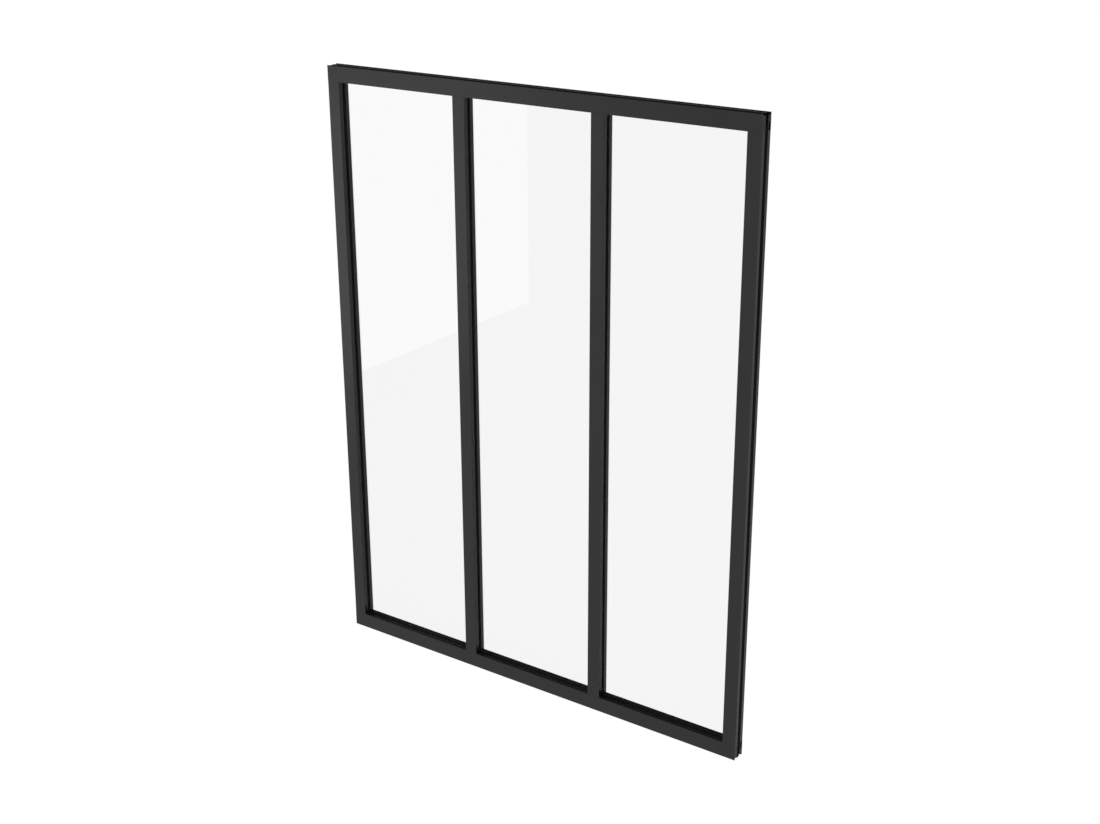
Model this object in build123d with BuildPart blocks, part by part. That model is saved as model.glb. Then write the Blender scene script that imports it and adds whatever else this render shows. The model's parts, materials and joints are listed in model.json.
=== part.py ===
# Fixed interior glass partition: two aluminium rails, four uprights with clip-on
# rear covers, and three panes bedded between rubber gaskets.
# Millimetres. X runs along the sill, Y from front to rear, Z up.
# The origin is on the underside of the bottom rail, at its middle.

import os

from build123d import *

# Overall size
frame_height = 1200.0
bay_pitch = 302.0
bay_names = ("left", "middle", "right")
upright_names = ("left_stile", "left_mullion", "right_mullion", "right_stile")

# Build-up from front to rear
front_depth = 9.5
front_gasket = 3.5
glass_thickness = 4.0
rear_gasket = 2.5
cover_depth = 9.0

# Extruded sections
wall = 1.6
edge_radius = 0.5
web_width = 11.0
rail_groove = 11.0
upright_groove = 8.0
foot_height = 8.5
lip_height = 3.5
rear_lip = 4.0
rib_setback = 2.5
rib_width = 6.1
rib_wall = 1.0
port_radius = 1.4
port_wall = 0.7

# Snap joint between a section and its cover
clip_mouth = 5.8
clip_lip = 1.0
clip_leg = 1.2
clip_barb = 0.8
clip_length = 2.2
clip_clearance = 0.2

# Wall fixings through the rails, and countersunk holes for the screws into the uprights
fixing_radius = 2.0
joint_radius = 1.8
joint_head = 2.4
joint_angle = 90.0

# Plugs and pads in the cut ends of the rails, and strips in the outer grooves of the stiles
plug_depth = 12.0
plug_face = 2.0
pad_thickness = 3.0
pad_setback = 1.0
filler_recess = 1.0
filler_wall = 1.2

# Glazing
glass_bite = 5.0
glass_arris = 0.4
gasket_width = 4.5
gasket_setback = 0.5
gasket_bevel = 1.0
block_length = 60.0
block_width = 6.0
block_height = 4.0

# Places that follow from the sizes above
bay_count = len(bay_names)
upright_face = web_width + 2 * upright_groove
rail_face = foot_height + web_width + rail_groove
frame_width = bay_count * bay_pitch + upright_face
glazing_gap = front_gasket + glass_thickness + rear_gasket
section_depth = front_depth + glazing_gap + cover_depth
front_y = -section_depth / 2
gap_y = front_y + front_depth
glass_y = gap_y + front_gasket
seat_y = gap_y + glazing_gap
rear_y = section_depth / 2
rib_low = gap_y + rib_setback
rib_high = rib_low + rib_width
rib_y = (rib_low + rib_high) / 2
rail_web = foot_height + web_width / 2
rail_floor = foot_height + web_width
box_low = lip_height + wall
divider_low = rail_web - wall / 2
pad_rear = seat_y - clip_length - clip_clearance
upright_length = frame_height - 2 * rail_face
web_length = frame_height - 2 * rail_floor
opening_width = bay_pitch - upright_face
opening_middle = frame_height / 2


def span(x_low, x_high, y_low, y_high, mode=Mode.ADD):
    """Rectangle between two corners of the section being drawn."""
    with Locations(((x_low + x_high) / 2, (y_low + y_high) / 2)):
        Rectangle(x_high - x_low, y_high - y_low, mode=mode)


def rounded_span(x_low, x_high, y_low, y_high):
    """The same with the small rounded corners of an extrusion."""
    with Locations(((x_low + x_high) / 2, (y_low + y_high) / 2)):
        RectangleRounded(x_high - x_low, y_high - y_low, edge_radius)


def clip_pocket(middle):
    """Hollow of the web, closed at the rear by the two lips that hold a cover."""
    hollow = web_width / 2 - wall
    span(middle - hollow, middle + hollow, gap_y, seat_y - clip_lip, Mode.SUBTRACT)
    span(middle - clip_mouth / 2, middle + clip_mouth / 2, gap_y, seat_y, Mode.SUBTRACT)


def clip_tongue(middle):
    """Pair of barbed legs on a cover, sprung behind the lips of the pocket."""
    outside = clip_mouth / 2 - clip_clearance
    inside = outside - clip_leg
    root = seat_y + wall / 2
    hook = seat_y - clip_lip - clip_clearance
    tip = seat_y - clip_length
    shoulder = (hook + tip) / 2
    for side in (-1, 1):
        Polygon(
            (middle + side * inside, root),
            (middle + side * outside, root),
            (middle + side * outside, hook),
            (middle + side * (outside + clip_barb), hook),
            (middle + side * (outside + clip_barb), shoulder),
            (middle + side * outside, tip),
            (middle + side * inside, tip),
            align=None,
        )


def rail_plane(is_top):
    """Section plane at one end of a rail: its X runs inwards from the rail's outer
    edge, its Y to the rear, and the rail is extruded along its normal."""
    if is_top:
        return Plane((-frame_width / 2, 0, frame_height), x_dir=(0, 0, -1), z_dir=(1, 0, 0))
    return Plane((frame_width / 2, 0, 0), x_dir=(0, 0, 1), z_dir=(-1, 0, 0))


def save(piece, name):
    """Label a finished piece and write it."""
    piece.part.label = name
    export_step(piece.part, f"parts/{name}.step")


def end_plug(name, is_top, near_end, x_low, x_high, y_low, y_high):
    """Cup that closes one chamber of a rail, flush with the cut. The near end is the
    one at the section plane."""
    start = 0 if near_end else frame_width - plug_depth
    hollow = plug_face if near_end else start
    with BuildPart() as plug:
        with BuildSketch(rail_plane(is_top).offset(start)):
            span(x_low, x_high, y_low, y_high)
        extrude(amount=plug_depth)
        with BuildSketch(rail_plane(is_top).offset(hollow)):
            span(x_low + wall, x_high - wall, y_low + wall, y_high - wall)
        extrude(amount=plug_depth - plug_face, mode=Mode.SUBTRACT)
    save(plug, name)


os.makedirs("parts", exist_ok=True)

# Rails: full-width extrusions. The front box with its lip, the web under the glass and
# the rib that bears on the wall are one section, and the cover closes the rear. The web
# and rib are cut back for a rubber pad at each end, between the front box and the snap
# joint. Plugs close the front box and the outer chamber of the cover.
for rail_name, is_top in (("bottom_rail", False), ("top_rail", True)):
    with BuildPart() as rail:
        with BuildSketch(rail_plane(is_top)):
            rounded_span(0, rail_face, front_y, front_y + wall)
            rounded_span(lip_height, rail_face, front_y, gap_y)
            span(foot_height, rail_floor, gap_y - wall, seat_y)
            rounded_span(0, rail_floor, rib_low, rib_high)
            span(box_low, rail_face - wall, front_y + wall, gap_y - wall, Mode.SUBTRACT)
            span(rib_wall, foot_height, rib_low + rib_wall, rib_high - rib_wall, Mode.SUBTRACT)
            clip_pocket(rail_web)
        extrude(amount=frame_width)
        for end_start in (0, frame_width - pad_thickness):
            with BuildSketch(rail_plane(is_top).offset(end_start)):
                span(0, rail_floor, gap_y, seat_y)
            extrude(amount=pad_thickness, mode=Mode.SUBTRACT)
        outer_z = frame_height if is_top else 0
        inward = -1 if is_top else 1
        with BuildSketch(Plane((0, rib_y, outer_z), x_dir=(1, 0, 0), z_dir=(0, 0, inward))):
            with GridLocations((bay_count - 1) * bay_pitch, 0, 2, 1):
                Circle(fixing_radius)
        extrude(amount=rail_floor, mode=Mode.SUBTRACT)
        with Locations(Plane((0, rib_y, outer_z), x_dir=(1, 0, 0), z_dir=(0, 0, -inward))):
            with GridLocations(bay_pitch, 0, bay_count + 1, 1):
                CounterSinkHole(joint_radius, joint_head, rail_floor, joint_angle)
    save(rail, rail_name)

    with BuildPart() as rail_cover:
        with BuildSketch(rail_plane(is_top)):
            rounded_span(0, rail_face, seat_y, rear_y)
            clip_tongue(rail_web)
            span(box_low, divider_low, seat_y + wall, rear_y - wall, Mode.SUBTRACT)
            span(divider_low + wall, rail_face - wall, seat_y + wall, rear_y - wall, Mode.SUBTRACT)
            span(wall, lip_height, seat_y, rear_y - wall, Mode.SUBTRACT)
            span(0, wall, seat_y, rear_y - rear_lip, Mode.SUBTRACT)
        extrude(amount=frame_width)
    save(rail_cover, f"{rail_name}_cover")

    for end in ("left", "right"):
        near_end = (end == "left") == is_top
        end_plug(
            f"{rail_name}_{end}_plug", is_top, near_end,
            box_low, rail_face - wall, front_y + wall, gap_y - wall,
        )
        end_plug(
            f"{rail_name}_cover_{end}_plug", is_top, near_end,
            box_low, divider_low, seat_y + wall, rear_y - wall,
        )
        with BuildPart() as pad:
            with BuildSketch(rail_plane(is_top).offset(0 if near_end else frame_width - pad_thickness)):
                span(pad_setback, rail_floor, gap_y, pad_rear)
            extrude(amount=pad_thickness)
        save(pad, f"{rail_name}_{end}_pad")

# Uprights: the face is cut between the rails, and the web runs on into their glazing
# grooves. Every upright has the same section, so a hollow strip fills the outer groove
# of a stile.
for index, upright_name in enumerate(upright_names):
    upright_x = (index - bay_count / 2) * bay_pitch
    half_face = upright_face / 2
    with BuildPart() as upright:
        with BuildSketch(Plane((upright_x, 0, rail_face))):
            rounded_span(-half_face, half_face, front_y, gap_y)
            span(-half_face + wall, half_face - wall, front_y + wall, gap_y - wall, Mode.SUBTRACT)
        extrude(amount=upright_length)
        with BuildSketch(Plane((upright_x, 0, rail_floor))):
            span(-web_width / 2, web_width / 2, gap_y, seat_y)
            clip_pocket(0)
            span(-web_width / 2 + wall / 2, web_width / 2 - wall / 2, rib_y - wall / 2, rib_y + wall / 2)
            with Locations((0, rib_y)):
                Circle(port_radius + port_wall)
                Circle(port_radius, mode=Mode.SUBTRACT)
        extrude(amount=web_length)
    save(upright, upright_name)

    with BuildPart() as upright_cover:
        with BuildSketch(Plane((upright_x, 0, rail_face))):
            rounded_span(-half_face, half_face, seat_y, rear_y)
            clip_tongue(0)
            span(-half_face + wall, half_face - wall, seat_y + wall, rear_y - wall, Mode.SUBTRACT)
        extrude(amount=upright_length)
    save(upright_cover, f"{upright_name}_cover")

# Groove fillers: they lie where the glass and its rear gasket would be.
filler_depth = upright_groove - filler_recess
for upright_name, side in ((upright_names[0], -1), (upright_names[-1], 1)):
    with BuildPart() as filler:
        filler_x = side * (frame_width / 2 - filler_recess - filler_depth / 2)
        with BuildSketch(Plane((filler_x, 0, rail_floor))):
            span(-filler_depth / 2, filler_depth / 2, glass_y, seat_y)
            span(
                -filler_depth / 2 + filler_wall, filler_depth / 2 - filler_wall,
                glass_y + filler_wall, seat_y - filler_wall, Mode.SUBTRACT,
            )
        extrude(amount=web_length)
    save(filler, f"{upright_name}_filler")

# Bays: a pane on two setting blocks, with a gasket ring on each face.
glass_low = rail_floor + block_height
glass_high = frame_height - rail_face + glass_bite
glass_middle = (glass_low + glass_high) / 2
glass_width = opening_width + 2 * glass_bite
ring_width = opening_width + 2 * gasket_setback
ring_height = upright_length + 2 * gasket_setback

for index, bay_name in enumerate(bay_names):
    bay_x = (index - (bay_count - 1) / 2) * bay_pitch
    with BuildPart() as pane:
        with BuildSketch(Plane((bay_x, glass_y, glass_middle), x_dir=(1, 0, 0), z_dir=(0, 1, 0))):
            Rectangle(glass_width, glass_high - glass_low)
        extrude(amount=glass_thickness)
        chamfer(pane.faces().sort_by(Axis.Y)[0].edges(), glass_arris)
        chamfer(pane.faces().sort_by(Axis.Y)[-1].edges(), glass_arris)
    save(pane, f"{bay_name}_pane")

    # Each ring is bevelled on the metal side, so that a thin lip lies on the glass.
    gaskets = (("front", gap_y, front_gasket, 0), ("rear", glass_y + glass_thickness, rear_gasket, -1))
    for face_name, ring_y, ring_thickness, metal_side in gaskets:
        with BuildPart() as gasket:
            with BuildSketch(Plane((bay_x, ring_y, opening_middle), x_dir=(1, 0, 0), z_dir=(0, 1, 0))):
                Rectangle(ring_width + 2 * gasket_width, ring_height + 2 * gasket_width)
                Rectangle(ring_width, ring_height, mode=Mode.SUBTRACT)
            extrude(amount=ring_thickness)
            metal_face = gasket.faces().filter_by(Axis.Y).sort_by(Axis.Y)[metal_side]
            chamfer(metal_face.inner_wires()[0].edges(), gasket_bevel)
        save(gasket, f"{bay_name}_{face_name}_gasket")

    for place, side in (("left", -1), ("right", 1)):
        block_x = bay_x + side * glass_width / 4
        block_y = glass_y + glass_thickness / 2
        with BuildPart() as block:
            with BuildSketch(Plane((block_x, block_y, rail_floor))):
                Rectangle(block_length, block_width)
            extrude(amount=block_height)
        save(block, f"{bay_name}_pane_{place}_block")
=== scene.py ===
import json
import math

import bmesh
import bpy
import numpy as np
from mathutils import Euler, Matrix, Vector


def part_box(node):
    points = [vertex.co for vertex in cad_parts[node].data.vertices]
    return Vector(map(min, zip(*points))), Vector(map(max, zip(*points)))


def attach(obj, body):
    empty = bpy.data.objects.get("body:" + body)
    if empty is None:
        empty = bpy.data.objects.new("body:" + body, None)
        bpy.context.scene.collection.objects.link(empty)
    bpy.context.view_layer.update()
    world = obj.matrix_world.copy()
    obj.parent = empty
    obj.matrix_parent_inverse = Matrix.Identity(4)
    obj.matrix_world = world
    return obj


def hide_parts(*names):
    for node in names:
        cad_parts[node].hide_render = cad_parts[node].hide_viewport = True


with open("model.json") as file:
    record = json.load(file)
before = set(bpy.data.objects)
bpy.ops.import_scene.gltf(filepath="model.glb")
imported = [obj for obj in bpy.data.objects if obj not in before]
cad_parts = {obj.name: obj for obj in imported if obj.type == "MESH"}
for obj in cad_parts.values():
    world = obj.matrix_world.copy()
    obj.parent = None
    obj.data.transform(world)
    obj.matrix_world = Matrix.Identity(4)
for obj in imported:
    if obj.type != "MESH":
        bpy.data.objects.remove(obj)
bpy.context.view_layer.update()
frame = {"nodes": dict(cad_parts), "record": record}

nodes = frame["nodes"]
scene = bpy.context.scene
mm = 0.001
white = (1, 1, 1, 1)
noiseSpan = (0.3, 0.7)    # nearly all values of a noise lie between these
print("frame loaded:", len(nodes), "nodes")


# small helpers for node trees
def newMaterial(name):
    material = bpy.data.materials.new(name)
    material.use_nodes = True
    tree = material.node_tree
    tree.nodes.clear()
    output = tree.nodes.new("ShaderNodeOutputMaterial")
    shader = tree.nodes.new("ShaderNodeBsdfPrincipled")
    tree.links.new(shader.outputs["BSDF"], output.inputs["Surface"])
    return material, tree, shader


def noiseOn(tree, scale, detail, source="Object", stretch=(1, 1, 1)):
    coordinate = tree.nodes.new("ShaderNodeTexCoord")
    mapping = tree.nodes.new("ShaderNodeMapping")
    mapping.inputs["Scale"].default_value = stretch
    noise = tree.nodes.new("ShaderNodeTexNoise")
    noise.inputs["Scale"].default_value = scale
    noise.inputs["Detail"].default_value = detail
    tree.links.new(coordinate.outputs[source], mapping.inputs["Vector"])
    tree.links.new(mapping.outputs["Vector"], noise.inputs["Vector"])
    return noise.outputs["Fac"]


def remap(tree, socket, span, low, high):
    node = tree.nodes.new("ShaderNodeMapRange")
    node.inputs["From Min"].default_value = span[0]
    node.inputs["From Max"].default_value = span[1]
    node.inputs["To Min"].default_value = low
    node.inputs["To Max"].default_value = high
    tree.links.new(socket, node.inputs["Value"])
    return node.outputs["Result"]


# one number worked on by another, either of them a value or a socket
def combine(tree, operation, first, second):
    node = tree.nodes.new("ShaderNodeMath")
    node.operation = operation
    for socket, value in zip(node.inputs, (first, second)):
        if isinstance(value, (int, float)):
            socket.default_value = value
        else:
            tree.links.new(value, socket)
    return node.outputs[0]


def greyFrom(tree, socket, dark, light):
    ramp = tree.nodes.new("ShaderNodeValToRGB")
    for stop, position, grey in zip(ramp.color_ramp.elements, noiseSpan, (dark, light)):
        stop.position = position
        stop.color = (grey, grey, grey, 1)
    tree.links.new(socket, ramp.inputs["Fac"])
    return ramp.outputs["Color"]


# grey and roughness vary together with one noise, the gloss is even
def mottle(tree, shader, noise, look):
    tree.links.new(greyFrom(tree, noise, look["dark"], look["light"]), shader.inputs["Base Color"])
    tree.links.new(remap(tree, noise, noiseSpan, *look["rough"]), shader.inputs["Roughness"])
    shader.inputs["Specular IOR Level"].default_value = look["specular"]


def bumpFrom(tree, shader, socket, strength, depth):
    bump = tree.nodes.new("ShaderNodeBump")
    bump.inputs["Strength"].default_value = strength
    bump.inputs["Distance"].default_value = depth
    tree.links.new(socket, bump.inputs["Height"])
    tree.links.new(bump.outputs["Normal"], shader.inputs["Normal"])


# satin black powder coat: faint cloudiness, and the fine peel of a sprayed film
coat = {
    "dark": 0.023,
    "light": 0.027,
    "rough": (0.22, 0.28),
    "specular": 0.45,
    "cloud": 9.0,
    "cloudDetail": 3.0,
    "peel": 2200.0,
    "peelDetail": 1.0,
    "peelStrength": 0.3,
    "peelDepth": 0.1 * mm,
}


def powderCoat():
    material, tree, shader = newMaterial("powderCoat")
    mottle(tree, shader, noiseOn(tree, coat["cloud"], coat["cloudDetail"]), coat)
    peel = noiseOn(tree, coat["peel"], coat["peelDetail"])
    bumpFrom(tree, shader, peel, coat["peelStrength"], coat["peelDepth"])
    return material


# matt black rubber, with the fine lines that the die leaves along the strip
rubber = {
    "dark": 0.016,
    "light": 0.023,
    "rough": (0.62, 0.78),
    "specular": 0.2,
    "lines": 4000.0,
    "lineDetail": 2.0,
    "lineStretch": (0.01, 1, 1),
    "lineStrength": 0.3,
    "lineDepth": 0.02 * mm,
}


def gasketRubber():
    material, tree, shader = newMaterial("gasketRubber")
    lines = noiseOn(tree, rubber["lines"], rubber["lineDetail"], "UV", rubber["lineStretch"])
    mottle(tree, shader, lines, rubber)
    bumpFrom(tree, shader, lines, rubber["lineStrength"], rubber["lineDepth"])
    return material


# cellular rubber of the end pads, with a fine pore bump: black rubber made darker still as painted
# shade, for the shadow of a deep open rail end
paintedShadePad = {
    # painted shade: these greys are darker than the rubber itself
    "dark": 0.001,
    "light": 0.005,
    "rough": (0.85, 0.95),
    "specular": 0.08,
    "pores": 1500.0,
    "poreDetail": 2.0,
    "poreStrength": 0.5,
    "poreDepth": 0.15 * mm,
}


def paintedShadePadFoam():
    material, tree, shader = newMaterial("paintedShadePadFoam")
    pores = noiseOn(tree, paintedShadePad["pores"], paintedShadePad["poreDetail"])
    mottle(tree, shader, pores, paintedShadePad)
    bumpFrom(tree, shader, pores, paintedShadePad["poreStrength"], paintedShadePad["poreDepth"])
    return material


# black plastic with a fine spark texture: satin end plugs, matt groove fillers and setting blocks;
# the fillers' near-black grey is partly painted shade
plastic = {
    "plug": {"dark": 0.014, "light": 0.018, "rough": (0.35, 0.45), "specular": 0.4},
    # painted shade: the filler is black plastic made darker still, for the shadow in the recessed
    # groove
    "filler": {"dark": 0.006, "light": 0.009, "rough": (0.6, 0.7), "specular": 0.12},
    "block": {"dark": 0.014, "light": 0.020, "rough": (0.6, 0.7), "specular": 0.25},
    "spark": 2200.0,
    "sparkDetail": 2.0,
    "sparkStrength": 0.3,
    "sparkDepth": 0.01 * mm,
}


def blackPlastic(kind):
    material, tree, shader = newMaterial(kind + "Plastic")
    spark = noiseOn(tree, plastic["spark"], plastic["sparkDetail"])
    mottle(tree, shader, spark, plastic[kind])
    bumpFrom(tree, shader, spark, plastic["sparkStrength"], plastic["sparkDepth"])
    return material


# clear float glass that lets lamps through
glass = {"colour": (0.943, 0.945, 0.944, 1), "index": 1.5}


def clearGlass():
    material, tree, shader = newMaterial("clearGlass")
    shader.inputs["Base Color"].default_value = glass["colour"]
    shader.inputs["Roughness"].default_value = 0.0
    shader.inputs["IOR"].default_value = glass["index"]
    shader.inputs["Transmission Weight"].default_value = 1.0
    clear = tree.nodes.new("ShaderNodeBsdfTransparent")
    clear.inputs["Color"].default_value = glass["colour"]
    path = tree.nodes.new("ShaderNodeLightPath")
    mix = tree.nodes.new("ShaderNodeMixShader")
    tree.links.new(path.outputs["Is Shadow Ray"], mix.inputs["Fac"])
    tree.links.new(shader.outputs["BSDF"], mix.inputs[1])
    tree.links.new(clear.outputs["BSDF"], mix.inputs[2])
    tree.links.new(mix.outputs["Shader"], tree.nodes["Material Output"].inputs["Surface"])
    return material


finishes = {
    "frame_coating": powderCoat(),
    "clear_glass": clearGlass(),
    "gasket_rubber": gasketRubber(),
    "setting_block": blackPlastic("block"),
    "trim_plastic": blackPlastic("plug"),
}
ownFinishes = {"pad": paintedShadePadFoam(), "filler": blackPlastic("filler")}    # by the last word of a node
for part in frame["record"]["subparts"]:
    kind = part["node"].split("_")[-1]
    skin = nodes[part["node"]].data.materials
    skin.clear()
    skin.append(ownFinishes.get(kind, finishes[part["material_slot"]]))
print("finishes set:", ", ".join(finishes))


grid = {
    "tipReach": 0.001 * mm,               # points this close become one
    "sharpAngle": math.radians(35),       # edges that turn more stay sharp
}


# a row drawn into one point becomes one vertex
def closeTips(mesh):
    shape = bmesh.new()
    shape.from_mesh(mesh)
    bmesh.ops.remove_doubles(shape, verts=shape.verts, dist=grid["tipReach"])
    shape.to_mesh(mesh)
    shape.free()


# rows and columns of points become quads: the columns close on themselves, and so do the rows
# of a ring, while the first and last row of any other piece are tips
def gridPiece(name, points, slot, isRing):
    rows, columns = points.shape[:2]
    row = np.arange(rows if isRing else rows - 1)[:, None]
    column = np.arange(columns)[None, :]
    corners = [(row, column), (row + 1, column), (row + 1, column + 1), (row, column + 1)]
    quads = np.stack([(r % rows) * columns + c % columns for r, c in corners], -1).reshape(-1, 4)
    # the map runs in metres along the rows and round the columns
    rowStep = np.linalg.norm(np.roll(points, -1, 0) - points, axis=2).mean(1)
    columnStep = np.linalg.norm(np.roll(points, -1, 1) - points, axis=2).mean(0)
    along = np.concatenate([[0], np.cumsum(rowStep)])
    around = np.concatenate([[0], np.cumsum(columnStep)])
    uv = np.stack([np.stack(np.broadcast_arrays(along[r], around[c]), -1) for r, c in corners], -2)
    mesh = bpy.data.meshes.new(name)
    mesh.from_pydata(points.reshape(-1, 3).tolist(), [], quads.tolist())
    mesh.uv_layers.new(name="along").data.foreach_set("uv", uv.ravel())
    if not isRing:
        closeTips(mesh)
    mesh.shade_smooth()
    mesh.set_sharp_from_angle(angle=grid["sharpAngle"])
    mesh.materials.append(finishes[slot])
    piece = bpy.data.objects.new(name, mesh)
    scene.collection.objects.link(piece)
    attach(piece, "root")
    return piece


uprights = ("left_stile", "left_mullion", "right_mullion", "right_stile")
bays = dict(zip(("left", "middle", "right"), zip(uprights, uprights[1:])))    # the two beside a pane

# glazing gaskets: a wedge with a round face and toe, mitred round each side of the glass
gasket = {
    "setback": 0.5 * mm,    # from the edge of the opening
    "lean": 1.2 * mm,       # the round face leans back this far at the metal
    "toe": 0.35 * mm,       # radius of the toe on the glass
    "facePoints": 12,
    "toePoints": 6,
    "sidePoints": 16,
}


# profile as outward distance and distance from the metal: a quarter of an ellipse from the
# metal to the nose, a quarter of a circle from the nose to the glass, then a square back
def gasketProfile(depth, width):
    face = np.linspace(0, math.pi / 2, gasket["facePoints"])
    toe = np.linspace(0, math.pi / 2, gasket["toePoints"])[1:]
    nose = depth - gasket["toe"]
    out = [gasket["lean"] * (1 - np.sin(face)), gasket["toe"] * (1 - np.cos(toe)), [width, width]]
    away = [nose * (1 - np.cos(face)), nose + gasket["toe"] * np.sin(toe), [depth, 0]]
    return np.concatenate(out), np.concatenate(away)


# ring: every corner of the opening moves outwards by the profile's distance along its
# diagonal, and each side is the straight blend from one corner to the next
def gasketRing(bay, face):
    node = f"{bay}_{face}_gasket"
    low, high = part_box(node)
    leftPost, rightPost = bays[bay]
    openLow = np.array([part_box(leftPost)[1][0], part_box("bottom_rail")[1][2]])
    openHigh = np.array([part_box(rightPost)[0][0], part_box("top_rail")[0][2]])
    out, away = gasketProfile(high[1] - low[1], openLow[0] - gasket["setback"] - low[0])
    signs = np.array([(-1, -1), (1, -1), (1, 1), (-1, 1)])
    y = low[1] + away
    if face == "rear":    # turned round, so that its faces still point outwards
        y = high[1] - away
        signs = signs[::-1]
    corners = np.where(signs > 0, openHigh, openLow)
    moved = corners[:, None, :] + signs[:, None, :] * (gasket["setback"] + out)[None, :, None]
    blend = np.linspace(0, 1, gasket["sidePoints"], endpoint=False)[None, :, None, None]
    ring = moved[:, None] * (1 - blend) + np.roll(moved, -1, 0)[:, None] * blend
    ring = ring.reshape(-1, len(out), 2)
    points = np.stack([ring[..., 0], np.broadcast_to(y, ring.shape[:2]), ring[..., 1]], -1)
    piece = gridPiece(node + "_ring", points, "gasket_rubber", isRing=True)
    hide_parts(node)


for bay in bays:
    for face in ("front", "rear"):
        gasketRing(bay, face)
print("gasket rings made:", 2 * len(bays))


# joining screws: countersunk heads flush with the bearing rib of each rail, at every upright
screw = {
    "headRadius": 2.3 * mm,
    "sink": 0.05 * mm,      # head below the face of the rib
    "shankRadius": 1.35 * mm,
    "length": 32 * mm,
    "point": 4 * mm,
    "crossReach": 1.5 * mm,
    "crossWidth": 0.8 * mm,
    "crossDepth": 0.9 * mm,
    "crossSoft": 0.15 * mm,
    "faceRings": 20,
    "turnPoints": 96,
}


# turned shape: radius times the cosine and sine of the angle, and a depth below the face. On
# the face the depth is the cross: it falls evenly from the middle to the end of an arm, times a
# smooth step across the arm's width. Below come the head's cone, the shank and its point
def jointScrew(name, place, outward):
    turn = np.linspace(0, 2 * math.pi, screw["turnPoints"], endpoint=False)[None, :] * outward
    face = np.linspace(0, screw["headRadius"], screw["faceRings"])[:, None]
    across = np.minimum(np.abs(face * np.cos(turn)), np.abs(face * np.sin(turn)))
    step = np.clip((screw["crossWidth"] / 2 - across) / screw["crossSoft"] + 0.5, 0, 1)
    fall = np.clip(1 - face / screw["crossReach"], 0, 1)
    cross = screw["crossDepth"] * fall * step ** 2 * (3 - 2 * step)
    shank = screw["shankRadius"]
    cone = screw["headRadius"] - shank    # as deep as it is wide
    below = np.array([[cone], [screw["length"] - screw["point"]], [screw["length"]]])
    radius = np.concatenate([face, [[shank], [shank], [0]]])
    depth = screw["sink"] + np.concatenate([cross, np.broadcast_to(below, (3, cross.shape[1]))])
    points = np.stack([radius * np.cos(turn), radius * np.sin(turn), -outward * depth], -1) + place
    gridPiece(name, points, "frame_coating", isRing=False)


mounts = {mount["name"]: mount for mount in frame["record"]["mounts"]}
for rail, fixings in (("bottom", "sill_fixings"), ("top", "head_fixings")):
    ribPlace = np.array(mounts[fixings]["pos_m"])
    outward = mounts[fixings]["axis"][2]
    for upright in uprights:
        low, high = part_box(upright)
        middle = (low[0] + high[0]) / 2
        jointScrew(f"{rail}_{upright}_screw", ribPlace + (middle, 0, 0), outward)
print("joining screws made:", 2 * len(uprights))


# pale studio: a white floor, and a surround whose light is pale at the horizon and dark overhead
studio = {
    "floorReach": 30.0,     # from the middle to each edge
    "floorGlow": 1.0,       # as the camera sees it, also through glass
    "floorGloss": 0.52,     # as glossy faces reflect it
    "floorColour": (0.03, 0.03, 0.03, 1),
    "floorRough": 0.9,
    "horizon": 0.4,
    "horizonFade": 8.0,     # times that the light halves up to the zenith
    "overhead": 0.04,
}


def whiteFloor():
    reach = studio["floorReach"]
    corners = [(-reach, -reach, 0), (reach, -reach, 0), (reach, reach, 0), (-reach, reach, 0)]
    mesh = bpy.data.meshes.new("floor")
    mesh.from_pydata(corners, [], [(0, 1, 2, 3)])
    floor = bpy.data.objects.new("floor", mesh)
    scene.collection.objects.link(floor)
    material, tree, shader = newMaterial("floorWhite")
    shader.inputs["Base Color"].default_value = studio["floorColour"]
    shader.inputs["Roughness"].default_value = studio["floorRough"]
    shader.inputs["Specular IOR Level"].default_value = 0.0
    shader.inputs["Emission Color"].default_value = white
    path = tree.nodes.new("ShaderNodeLightPath").outputs
    seen = combine(tree, "MAXIMUM", path["Is Camera Ray"], path["Is Glossy Ray"])
    seen = combine(tree, "MAXIMUM", seen, path["Is Transmission Ray"])
    level = remap(tree, path["Glossy Depth"], (0, 1), studio["floorGlow"], studio["floorGloss"])
    tree.links.new(combine(tree, "MULTIPLY", seen, level), shader.inputs["Emission Strength"])
    mesh.materials.append(material)


def softWorld():
    world = bpy.data.worlds.new("studio")
    scene.world = world
    world.use_nodes = True
    tree = world.node_tree
    tree.nodes.clear()
    output = tree.nodes.new("ShaderNodeOutputWorld")
    background = tree.nodes.new("ShaderNodeBackground")
    background.inputs["Color"].default_value = white
    coordinate = tree.nodes.new("ShaderNodeTexCoord")
    split = tree.nodes.new("ShaderNodeSeparateXYZ")
    tree.links.new(coordinate.outputs["Generated"], split.inputs["Vector"])
    # the light halves again and again with the height above the horizon
    halvings = remap(tree, split.outputs["Z"], (0, 1), 0, studio["horizonFade"])
    light = combine(tree, "MULTIPLY", studio["horizon"], combine(tree, "POWER", 0.5, halvings))
    light = combine(tree, "MAXIMUM", light, studio["overhead"])
    # seen straight, or straight through glass, it is white like the floor
    path = tree.nodes.new("ShaderNodeLightPath").outputs
    seen = combine(tree, "MAXIMUM", path["Is Camera Ray"], path["Is Transmission Ray"])
    bounced = combine(tree, "ADD", path["Glossy Depth"], path["Diffuse Depth"])
    straight = combine(tree, "MULTIPLY", seen, remap(tree, bounced, (0, 1), studio["floorGlow"], 0))
    tree.links.new(combine(tree, "MAXIMUM", light, straight), background.inputs["Strength"])
    tree.links.new(background.outputs["Background"], output.inputs["Surface"])


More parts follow.
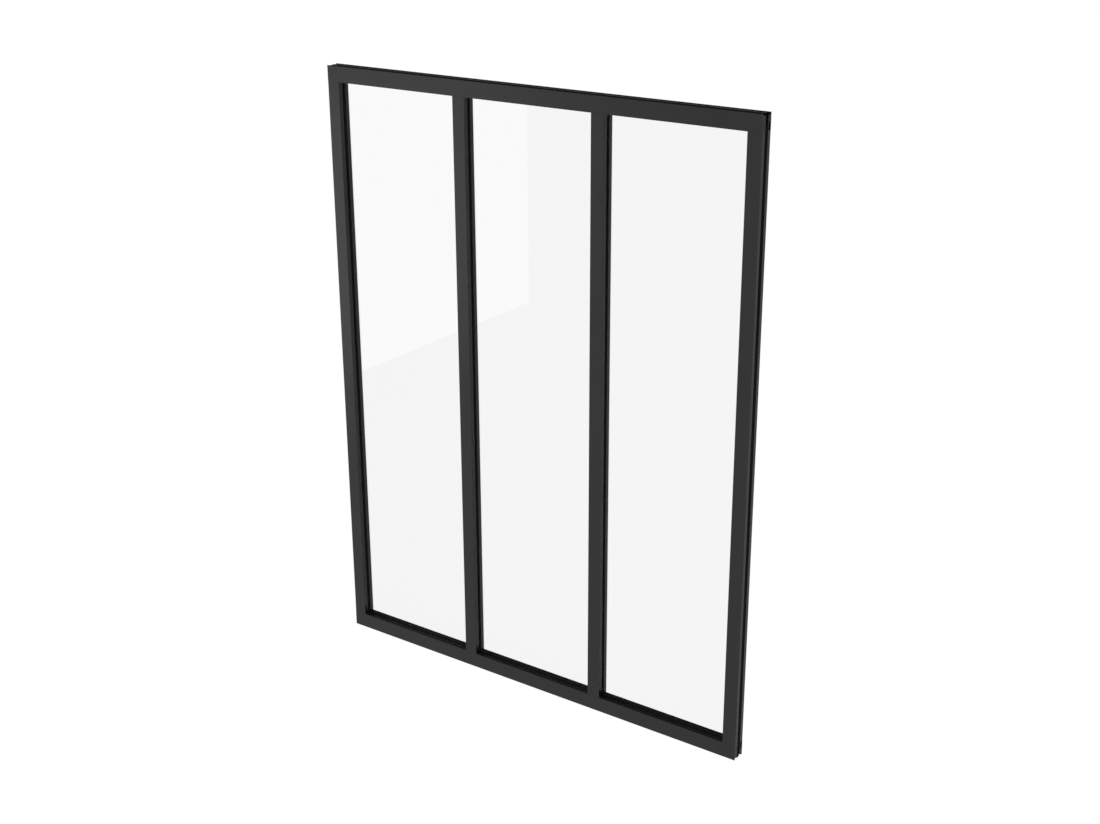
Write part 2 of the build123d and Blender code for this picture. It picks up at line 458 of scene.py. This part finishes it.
# softboxes: place of the middle, the point it faces, width and height, brightness of its face,
# and whether glossy faces and panes show it
softboxes = {
    "sideSoftbox": {
        "place": (-1.55, -0.80, 0.48),
        "target": (0, -0.80, 0.48),
        "size": (2.66, 0.95),
        "glow": 0.55,
        "mirrored": True,
    },
    "washSoftbox": {
        "place": (-1.55, -0.45, 0.48),
        "target": (0, -0.45, 0.48),
        "size": (0.9, 0.95),
        "glow": 3.0,
        "mirrored": True,
    },
    "frontSoftbox": {
        "place": (0.6, -4.5, 1.4),
        "target": (0, 0, 0.6),
        "size": (2.0, 1.6),
        "glow": 12.0,
        "mirrored": False,
    },
}


def softbox(name, place, target, size, glow, mirrored):
    lamp = bpy.data.lights.new(name, "AREA")
    lamp.shape = "RECTANGLE"
    lamp.size, lamp.size_y = size
    lamp.energy = glow * math.pi * size[0] * size[1]
    stand = bpy.data.objects.new(name, lamp)
    scene.collection.objects.link(stand)
    stand.location = place
    stand.rotation_euler = (Vector(target) - Vector(place)).to_track_quat("-Z", "Y").to_euler()
    stand.visible_glossy = mirrored
    stand.visible_transmission = mirrored


whiteFloor()
softWorld()
for name, settings in softboxes.items():
    softbox(name, **settings)
print("studio lit by", ", ".join(softboxes))


# camera fitted to the straight edges of the photograph, which is 1100 by 824 pixels
lens = {
    "place": (1.6347, -2.2654, 1.6520),
    "azimuth": math.radians(35.142),
    "elevation": math.radians(20.846),
    "roll": math.radians(0.203),
    "focalPixels": 1579.36,
    "imageWidth": 1100,
    "sensor": 36.0,
}


def photoCamera():
    data = bpy.data.cameras.new("photoCamera")
    data.sensor_width = lens["sensor"]
    data.lens = lens["focalPixels"] / lens["imageWidth"] * lens["sensor"]
    camera = bpy.data.objects.new("photoCamera", data)
    scene.collection.objects.link(camera)
    turn = Euler((math.pi / 2 - lens["elevation"], 0, lens["azimuth"])).to_matrix()
    camera.rotation_euler = (turn @ Matrix.Rotation(-lens["roll"], 3, "Z")).to_euler()
    camera.location = lens["place"]
    scene.camera = camera


photoCamera()
scene.view_settings.view_transform = "Standard"
print("camera placed")
